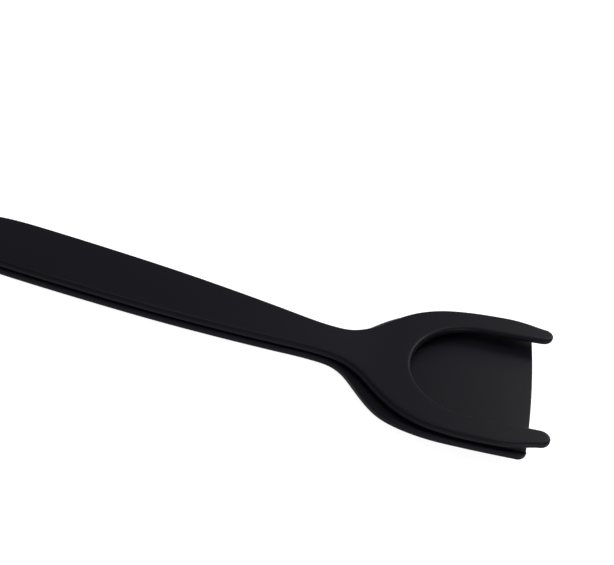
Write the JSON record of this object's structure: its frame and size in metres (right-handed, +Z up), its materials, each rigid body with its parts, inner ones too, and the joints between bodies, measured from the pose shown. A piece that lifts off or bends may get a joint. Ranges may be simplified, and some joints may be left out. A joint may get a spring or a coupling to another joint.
{
  "type": "turner tongs",
  "caption": "Nylon turner tongs: a wide fork arm over a turner-blade arm, with matching flat handles joined by a sprung hinge at the tail.",
  "frame": {"origin": "centre of the bounding box in plan, on the plane that the lower handle's flat underside rests on", "axes": "+X from the tail to the fork's tips, +Z up from the lower arm to the upper arm, +Y across the head"},
  "size_m": [0.292, 0.0882, 0.0195],
  "materials": {
    "nylon": "fine satin moulding texture",
    "pin_steel": "turned and brushed",
    "spring_steel": "drawn wire"
  },
  "bodies": {
    "lower": {"lower_arm": "nylon", "hinge_pin": "pin_steel", "pin_cap": "pin_steel", "torsion_spring": "spring_steel"},
    "upper": {"upper_arm": "nylon"}
  },
  "joints": [
    {"name": "jaw_hinge", "type": "hinge", "parent": "lower", "child": "upper", "pos_m": [-0.125, 0, 0.0042], "axis": [0, -1, 0], "range_deg": [0, 16]}
  ]
}
